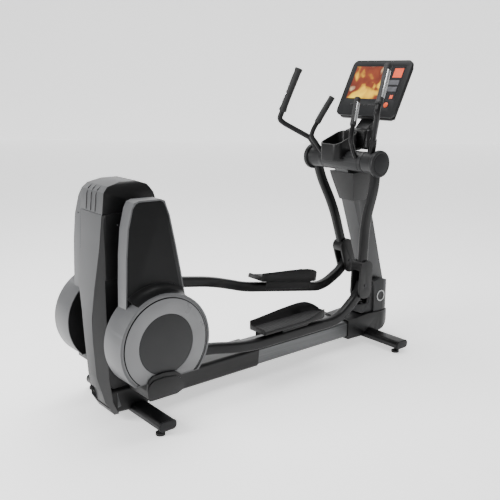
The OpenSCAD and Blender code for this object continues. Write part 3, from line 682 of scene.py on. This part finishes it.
for side in (-1, 1):
    hand = SIDE[side]
    arm_body = "swing_" + hand
    lever_body = "lever_" + hand
    arm_path = rounded([swung(side, p) for p in ((0, side * 0.232, -0.01), (0, side * 0.232, -0.130),
                                                 (0, side * 0.182, -0.330), (0, side * 0.182, -0.590))], 0.09, 8)
    arm = sweep("arm_tube_" + hand, arm_path, (0.042, 0.054), side=(0, 1, 0), corner=0.014)
    barrel = disc("hub_barrel_" + hand, swung(side, (0, side * 0.215, 0)), 0.031, 0.093)
    arm = join([arm, barrel], "arm_tube_" + hand)
    finish_piece(arm, arm_body, BLACK_PAINT)
    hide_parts("swing_arm_" + hand)

    hub = turned_ring("hub_shell_" + hand, SWING, [
                      (0.030, side * 0.1665), (0.0565, side * 0.1665), (0.0575, side * 0.1750),
                      (0.0575, side * 0.2380), (0.0590, side * 0.2420), (0.0715, side * 0.2440),
                      (0.0738, side * 0.2475), (0.0738, side * 0.2600), (0.0720, side * 0.2655),
                      (0.0670, side * 0.2680), (0.0600, side * 0.2684), (0.0585, side * 0.2672),
                      (0.0300, side * 0.2672), (0.0040, side * 0.2676), (0.0040, side * 0.2600),
                      (0.0300, side * 0.2600)])
    finish_piece(hub, arm_body, CROSS_GREY, smooth=45)
    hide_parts("hub_cover_" + hand)
    face = disc("hub_face_" + hand, SWING + Vector((0, side * 0.2682, 0)), 0.0575, 0.0024, edge=0.0009)
    finish_piece(face, arm_body, GRAPHITE)

    rework("coupling_" + hand, "knuckle_shell_" + hand, BLACK, edge=0.009, segments=4)

    bend = Vector((-0.130, side * 0.328, 0.275))
    top = Vector((0.025, side * 0.247, 0.514))
    handle_path = rounded([swung(side, p) for p in (Vector((-0.018, side * 0.216, 0.118)),
                                                    bend - Vector((-0.018, side * 0.012, 0.032)), bend, top)], 0.05, 8)
    bar = sweep("handle_bar_" + hand, handle_path, (0.030, 0.030), sides=28)
    root = sweep("handle_root_" + hand, [swung(side, p) for p in (
        Vector((-0.004, side * 0.195, 0.036)), Vector((-0.012, side * 0.207, 0.085)),
        Vector((-0.022, side * 0.221, 0.128)), Vector((-0.026, side * 0.225, 0.136)))],
        (0.044, 0.044), grow=[0.95, 1.0, 0.92, 0.72], sides=28)
    bar = join([bar, root], "handle_bar_" + hand)
    finish_piece(bar, arm_body, BLACK_PAINT)
    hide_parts("handle_tube_" + hand)

    along = (top - bend).normalized()
    grip_steps = [0.048, 0.050, 0.056, 0.066, 0.085, 0.12, 0.17, 0.21]
    reach = (top - bend).length
    grip_steps += [reach - 0.016, reach - 0.004, reach + 0.006, reach + 0.009]
    grip_grow = [0.92, 1.14, 1.20, 1.12, 1.0, 0.98, 1.0, 1.02, 1.04, 1.18, 1.16, 0.9]
    grip = sweep("grip_" + hand, [swung(side, bend + along * k) for k in grip_steps], (0.038, 0.038),
                 grow=grip_grow, sides=32)
    finish_piece(grip, arm_body, GRIP)
    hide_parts("handle_grip_" + hand)
    for k, offset in enumerate((-0.0065, 0.0065)):
        out = Vector((-0.15, side * 0.98, 0)).normalized()
        out = (out - along * out.dot(along)).normalized()
        aside = along.cross(out).normalized()
        line = [swung(side, bend + along * q + out * 0.0165 + aside * offset)
                for q in (0.090, 0.094, reach - 0.034, reach - 0.030)]
        lay = (swung(side, aside) - swung(side, (0, 0, 0))).normalized()
        plate = sweep("pulse_plate_%s_%d" % (hand, k + 1), line, (0.0105, 0.0062), side=lay,
                      grow=[0.7, 1, 1, 0.7], corner=0.0018)
        finish_piece(plate, arm_body, SENSOR)

    lever_points = []
    for x, z in LEVER_PATH:
        y = 0.1445 if x < 0.45 else (0.180 if x >= 0.6 else 0.1445)
        lever_points.append((x, side * y, z))
    lever_points = [(-0.014, side * 0.1445, 0.0012), (0.450, side * 0.1445, -0.037), (0.600, side * 0.180, -0.072),
                    (0.720, side * 0.180, -0.100), (1.290, side * 0.180, -0.150), (1.365, side * 0.180, -0.132),
                    (1.480, side * 0.180, -0.062), (1.528, side * 0.180, 0.0106)]
    lever_path = rounded([on_lever(side, p) for p in lever_points], 0.10, 7)
    lever = sweep("lever_bar_" + hand, lever_path, (0.044, 0.054), side=(0, 1, 0), corner=0.012)
    rear_eye = disc("rear_eye_" + hand, on_lever(side, (0, side * 0.1445, 0)), 0.0268, 0.0436)
    lever = join([lever, rear_eye], "lever_bar_" + hand)
    finish_piece(lever, lever_body, BLACK_PAINT)
    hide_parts("pedal_lever_" + hand)

    tray = foot_tray(side)
    finish_piece(tray, lever_body, BLACK_DULL, smooth=50)
    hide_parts("pedal_tray_" + hand)
    rework("pedal_mat_" + hand, "foot_mat_" + hand, TREAD, edge=0.0012)

# ---------- crossbar, bin and fixed handles ----------

rework("crossbar_cover", "crossbar_shell", CROSS_GREY, edge=0.003, segments=3)
rework("bin_tray", "storage_bin", BLACK, edge=0.004, segments=4)
for y in (-0.1390, 0.1390):
    seam = turned_ring("crossbar_seam_" + ("right" if y < 0 else "left"), SWING + Vector((0, y, 0)),
                       [(0.050, -0.0011), (0.0583, -0.0011), (0.0583, 0.0011), (0.050, 0.0011)])
    finish_piece(seam, "frame", SEAM)

fixed_bars = []
for side in (-1, 1):
    hand = SIDE[side]
    points = [(0.604, side * 0.126, 1.108), (0.556, side * 0.132, 1.152), (0.508, side * 0.153, 1.222),
              (0.520, side * 0.148, 1.260), (0.610, side * 0.099, 1.432)]
    points = [Vector((x + SHIFT, y, z)) for x, y, z in points]
    away = (points[0] - SWING)
    away.y = 0
    points[0] = Vector((SWING.x, points[0].y, SWING.z)) + away.normalized() * 0.060
    fixed_bars.append(sweep("fixed_bar_" + hand, rounded(points, 0.045, 7), (0.026, 0.026), sides=28))
    bend, top = points[3], points[4]
    along = (top - bend).normalized()
    reach = (top - bend).length
    grip = sweep("fixed_grip_" + hand, [bend + along * k for k in (
        0.040, 0.042, 0.055, 0.09, 0.13, reach - 0.01, reach + 0.004, reach + 0.008)],
                 (0.034, 0.034), grow=[0.85, 1.0, 1.04, 0.98, 0.98, 1.0, 1.04, 0.85], sides=28)
    finish_piece(grip, "frame", GRIP)
    if side < 0:
        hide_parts("fixed_grips")
    out = Vector((-0.15, side * 0.98, 0))
    out = (out - along * out.dot(along)).normalized()
    aside = along.cross(out).normalized()
    for k, offset in enumerate((-0.0055, 0.0055)):
        line = [bend + along * q + out * 0.0143 + aside * offset for q in (0.060, 0.064, reach - 0.028, reach - 0.024)]
        plate = sweep("fixed_pulse_plate_%s_%d" % (hand, k + 1), line, (0.009, 0.0056), side=aside,
                      grow=[0.7, 1, 1, 0.7], corner=0.0016)
        finish_piece(plate, "frame", SENSOR)
bars = join(fixed_bars, "fixed_handle_bars")
finish_piece(bars, "frame", BLACK_PAINT)
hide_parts("fixed_handles")

# ---------- console ----------

head = block("mast_head_shell", (0.712, -0.104, 1.150), (0.790, 0.040, 1.262), edge=0)
for v in head.data.vertices:
    if v.co.z > 1.2:
        v.co.x += 0.028
        v.co.y *= 0.80
bevel(head, 0.016, 5)
finish_piece(head, "frame", BLACK)
chin = block("console_chin", (0.0090, -0.2080, -0.1712), (0.0330, 0.1880, -0.1500), edge=0.006)
place(chin, Matrix.Translation(CONSOLE) @ about_y(CONSOLE_TILT))
finish_piece(chin, "frame", SEAM)

rework("console_neck", "console_stalk", BLACK, edge=0.010, segments=4)
rework("console_back", "console_rear_shell", BLACK, edge=0.008, segments=4)
rework("console_bezel", "console_face_frame", GRAPHITE, edge=0.003, segments=3)
rework("stop_button", "stop_key", RED, edge=0.0015)

PANES = {
    "display_picture_pane": (-0.072, 0.181, -0.067, 0.133, PICTURE),
    "display_side_pane": (-0.181, -0.075, -0.067, 0.133, SCREEN_BLACK),
    "display_red_tile": (-0.176, -0.112, 0.066, 0.122, TILE_RED),
    "display_mark_tile": (-0.166, -0.144, -0.062, -0.040, TILE_RED),
    "display_row_tile_1": (-0.172, -0.086, 0.022, 0.050, TILE_GREY),
    "display_row_tile_2": (-0.172, -0.086, -0.018, 0.010, TILE_GREY),
}
for name, (y0, y1, z0, z1, mat) in PANES.items():
    depth = 0.0008 if "pane" in name else 0.0012
    pane = block(name, (-0.0079 - depth, y0, z0), (-0.0079, y1, z1), edge=0.0002, segments=1)
    place(pane, Matrix.Translation(CONSOLE) @ about_y(CONSOLE_TILT))
    finish_piece(pane, "frame", mat)
keys = []
for k in range(7):
    key = block("key_%d" % k, (-0.0092, -0.095 + k * 0.034, -0.112), (-0.0075, -0.075 + k * 0.034, -0.100),
                edge=0.0006, segments=2)
    keys.append(place(key, Matrix.Translation(CONSOLE) @ about_y(CONSOLE_TILT)))
finish_piece(join(keys, "console_keys"), "frame", BLACK)

# ---------- screws ----------

def screw(name, at, normal, body="frame", radius=0.0045):
    """A button-head screw with a socket, seated on a surface."""
    deselect()
    bpy.ops.mesh.primitive_cylinder_add(vertices=24, radius=radius, depth=0.0024)
    obj = bpy.context.object
    obj.name = name
    bpy.ops.object.mode_set(mode="EDIT")
    bpy.ops.mesh.select_mode(type="FACE")
    bpy.ops.mesh.select_all(action="DESELECT")
    mesh = bmesh.from_edit_mesh(obj.data)
    for f in mesh.faces:
        f.select = f.normal.z > 0.9
    bmesh.update_edit_mesh(obj.data)
    bpy.ops.mesh.inset(thickness=radius * 0.25)
    bpy.ops.mesh.inset(thickness=radius * 0.3)
    bpy.ops.mesh.extrude_region_move(TRANSFORM_OT_translate={"value": (0, 0, -0.0012)})
    bpy.ops.object.mode_set(mode="OBJECT")
    turn = Vector(normal).to_track_quat("Z", "Y").to_matrix().to_4x4()
    place(obj, Matrix.Translation(at) @ turn)
    return finish_piece(obj, body, SCREW)


for side in (-1, 1):
    for n, (y, turn) in enumerate(((0.128, 35), (0.128, -40))):
        way = Vector((-math.cos(math.radians(turn)), 0, math.sin(math.radians(turn))))
        screw("crossbar_screw_%s_%d" % (SIDE[side], n), SWING + Vector((0, side * y, 0)) + way * 0.0574, way)
    for n, z in enumerate((0.560, 0.760, 0.950)):
        x = -0.9315 if z > 0.9 else (-0.9295 if z > 0.7 else -0.9520)
        screw("pod_screw_%s_%d" % (SIDE[side], n), Vector((x + SHIFT - 0.0015, side * 0.184, z)), (-1, 0, 0),
              radius=0.0035)

# ---------- studio ----------

BACKDROP_GLOW = 0.80
AMBIENT = 0.46
CAMERA_AT = (-2.428, -2.945, 1.6)
CAMERA_TURN = (76.235, 0, -38.96)
CAMERA_LENS_MM = 53.69


def studio():
    """A pale floor and backdrop, three soft lights and the camera."""
    deselect()
    bpy.ops.mesh.primitive_plane_add(size=30, location=(0, 0, 0))
    floor = bpy.context.object
    floor.name = "studio_floor"
    white = finish("studio_white", (0.92, 0.92, 0.92), 0.85, spread=0.01, bump=0.0, specular=0.1)
    white.node_tree.nodes["Principled BSDF"].inputs["Emission Color"].default_value = (1, 1, 1, 1)
    white.node_tree.nodes["Principled BSDF"].inputs["Emission Strength"].default_value = BACKDROP_GLOW
    floor.data.materials.append(white)
    deselect()
    bpy.ops.mesh.primitive_plane_add(size=40, location=(9.0, 9.0, 10),
                                     rotation=(math.radians(90), 0, math.radians(-45)))
    wall = bpy.context.object
    wall.name = "studio_wall"
    wall.data.materials.append(white)
    world = bpy.data.worlds.new("studio")
    bpy.context.scene.world = world
    world.use_nodes = True
    back = world.node_tree.nodes["Background"]
    back.inputs["Color"].default_value = (1, 1, 1, 1)
    back.inputs["Strength"].default_value = AMBIENT
    for name, at, size, power, look in (
            ("key_softbox", (-4.6, 1.0, 2.4), 2.0, 230, (-0.6, 0, 0.8)),
            ("side_softbox", (-1.0, -4.2, 2.6), 1.6, 20, (0, 0, 0.7)),
            ("top_softbox", (0.3, 0.6, 4.4), 3.0, 210, (0, 0, 0.6))):
        lamp = bpy.data.lights.new(name, "AREA")
        lamp.energy = power
        lamp.size = size
        obj = bpy.data.objects.new(name, lamp)
        bpy.context.scene.collection.objects.link(obj)
        obj.location = at
        obj.rotation_euler = (Vector(look) - Vector(at)).to_track_quat("-Z", "Y").to_euler()
    cam = bpy.data.cameras.new("studio_camera")
    cam.lens = CAMERA_LENS_MM
    cam.sensor_width = 36
    obj = bpy.data.objects.new("studio_camera", cam)
    bpy.context.scene.collection.objects.link(obj)
    obj.location = CAMERA_AT
    obj.rotation_euler = [math.radians(a) for a in CAMERA_TURN]
    bpy.context.scene.camera = obj


studio()
bpy.context.view_layer.update()
